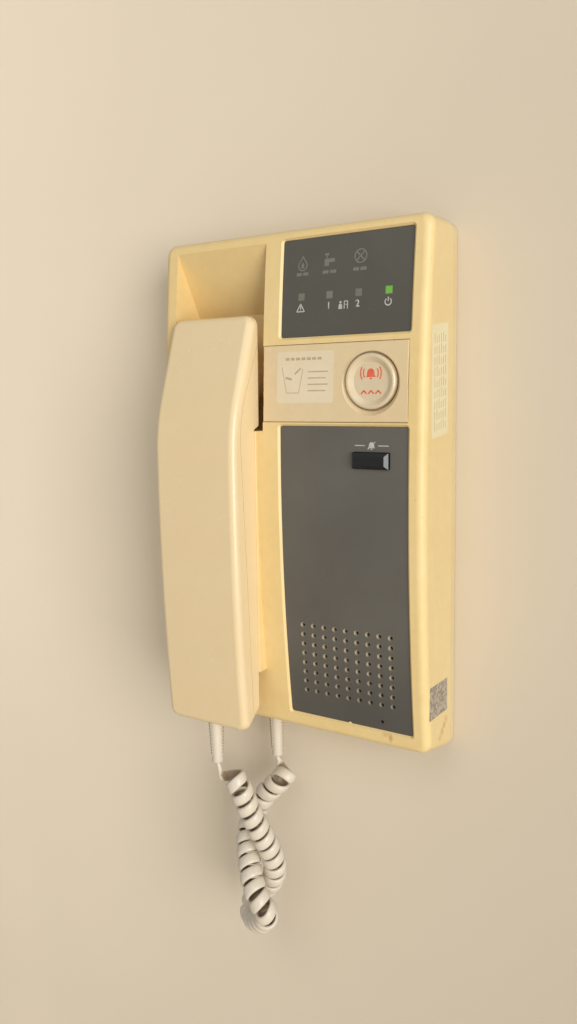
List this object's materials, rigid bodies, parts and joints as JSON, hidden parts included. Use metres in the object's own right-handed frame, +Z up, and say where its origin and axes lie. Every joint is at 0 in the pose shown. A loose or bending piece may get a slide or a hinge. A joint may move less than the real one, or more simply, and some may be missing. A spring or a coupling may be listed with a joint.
{
  "type": "intercom indoor station",
  "caption": "Wall-mounted intercom station with a hook-down handset on a curly cord, lamp window, round emergency push button, stop key and loudspeaker grille",
  "frame": {"origin": "middle of the wall bracket's two screw holes, on the wall plane, at mid height of the case", "axes": "+X to the right as seen from the room, +Y into the wall, +Z up"},
  "size_m": [0.132, 0.0512, 0.3408],
  "materials": {
    "cover_plastic": "aged ivory moulding, satin",
    "base_plastic": "aged ivory moulding, satin",
    "plate_plastic": "aged ivory moulding, satin",
    "window_plastic": "smoked brown, semi-gloss",
    "button_plastic": "aged ivory moulding, satin",
    "key_plastic": "black, polished",
    "handset_plastic": "aged ivory moulding, semi-gloss",
    "cord_vinyl": "aged ivory vinyl",
    "switch_plastic": "black moulding",
    "board_laminate": "paper laminate board, lacquered",
    "zinc_steel": "zinc-plated sheet",
    "screw_steel": "zinc-plated",
    "spring_steel": "music wire",
    "capacitor_sleeve": "shrunk sleeve",
    "speaker_paper": "pressed paper",
    "magnet_ferrite": "ferrite",
    "foam": "open foam",
    "microphone_can": "drawn can",
    "lens_plastic": "milky, unlit",
    "led_resin": "tinted resin",
    "capsule_plastic": "black moulding",
    "weight_iron": "plain bar"
  },
  "bodies": {
    "station": {"wall_bracket": "zinc_steel", "rear_base": "base_plastic", "front_cover": "cover_plastic", "case_screws": "screw_steel", "upper_window": "window_plastic", "lower_panel": "window_plastic", "middle_plate": "plate_plastic", "emergency_spring": "spring_steel", "emergency_switch": "switch_plastic", "stop_spring": "spring_steel", "stop_switch": "switch_plastic", "hook_spring": "spring_steel", "hook_switch": "switch_plastic", "main_board": "board_laminate", "board_screws": "screw_steel", "terminal_block": "switch_plastic", "terminal_screws": "screw_steel", "relay": "switch_plastic", "capacitors": "capacitor_sleeve", "speaker_basket": "zinc_steel", "speaker_cone": "speaker_paper", "speaker_magnet": "magnet_ferrite", "speaker_gasket": "foam", "speaker_straps": "switch_plastic", "panel_microphone": "microphone_can", "light_shield": "switch_plastic", "indicator_lenses": "lens_plastic", "indicator_leds": "led_resin", "indicator_board": "board_laminate", "board_pillars": "switch_plastic", "case_strain_relief": "cord_vinyl", "curly_cord": "cord_vinyl"},
    "handset": {"handset_front_shell": "handset_plastic", "handset_rear_shell": "handset_plastic", "handset_screws": "screw_steel", "earpiece_capsule": "capsule_plastic", "earpiece_foam": "foam", "mouth_microphone": "microphone_can", "handset_weight": "weight_iron", "handset_strain_relief": "cord_vinyl"},
    "hook_plunger": {"hook_plunger": "button_plastic"},
    "emergency_button": {"emergency_button": "button_plastic"},
    "stop_key": {"stop_key": "key_plastic"}
  },
  "joints": [
    {"name": "handset_lift", "type": "slide", "parent": "station", "child": "handset", "axis": [0, -1, 0], "range_m": [0, 0.08]},
    {"name": "hook_plunger_slide", "type": "slide", "parent": "station", "child": "hook_plunger", "axis": [0, -1, 0], "range_m": [0, 0.004], "deforming": ["hook_spring"]},
    {"name": "emergency_press", "type": "slide", "parent": "station", "child": "emergency_button", "axis": [0, 1, 0], "range_m": [0, 0.0025], "stiffness_N_per_m": 400, "springref_m": -0.002, "deforming": ["emergency_spring"]},
    {"name": "stop_press", "type": "slide", "parent": "station", "child": "stop_key", "axis": [0, 1, 0], "range_m": [0, 0.0012], "stiffness_N_per_m": 300, "springref_m": -0.001, "deforming": ["stop_spring"]}
  ],
  "couplings": [
    {"joint": "hook_plunger_slide", "follows": "handset_lift", "ratio": 0.05}
  ]
}
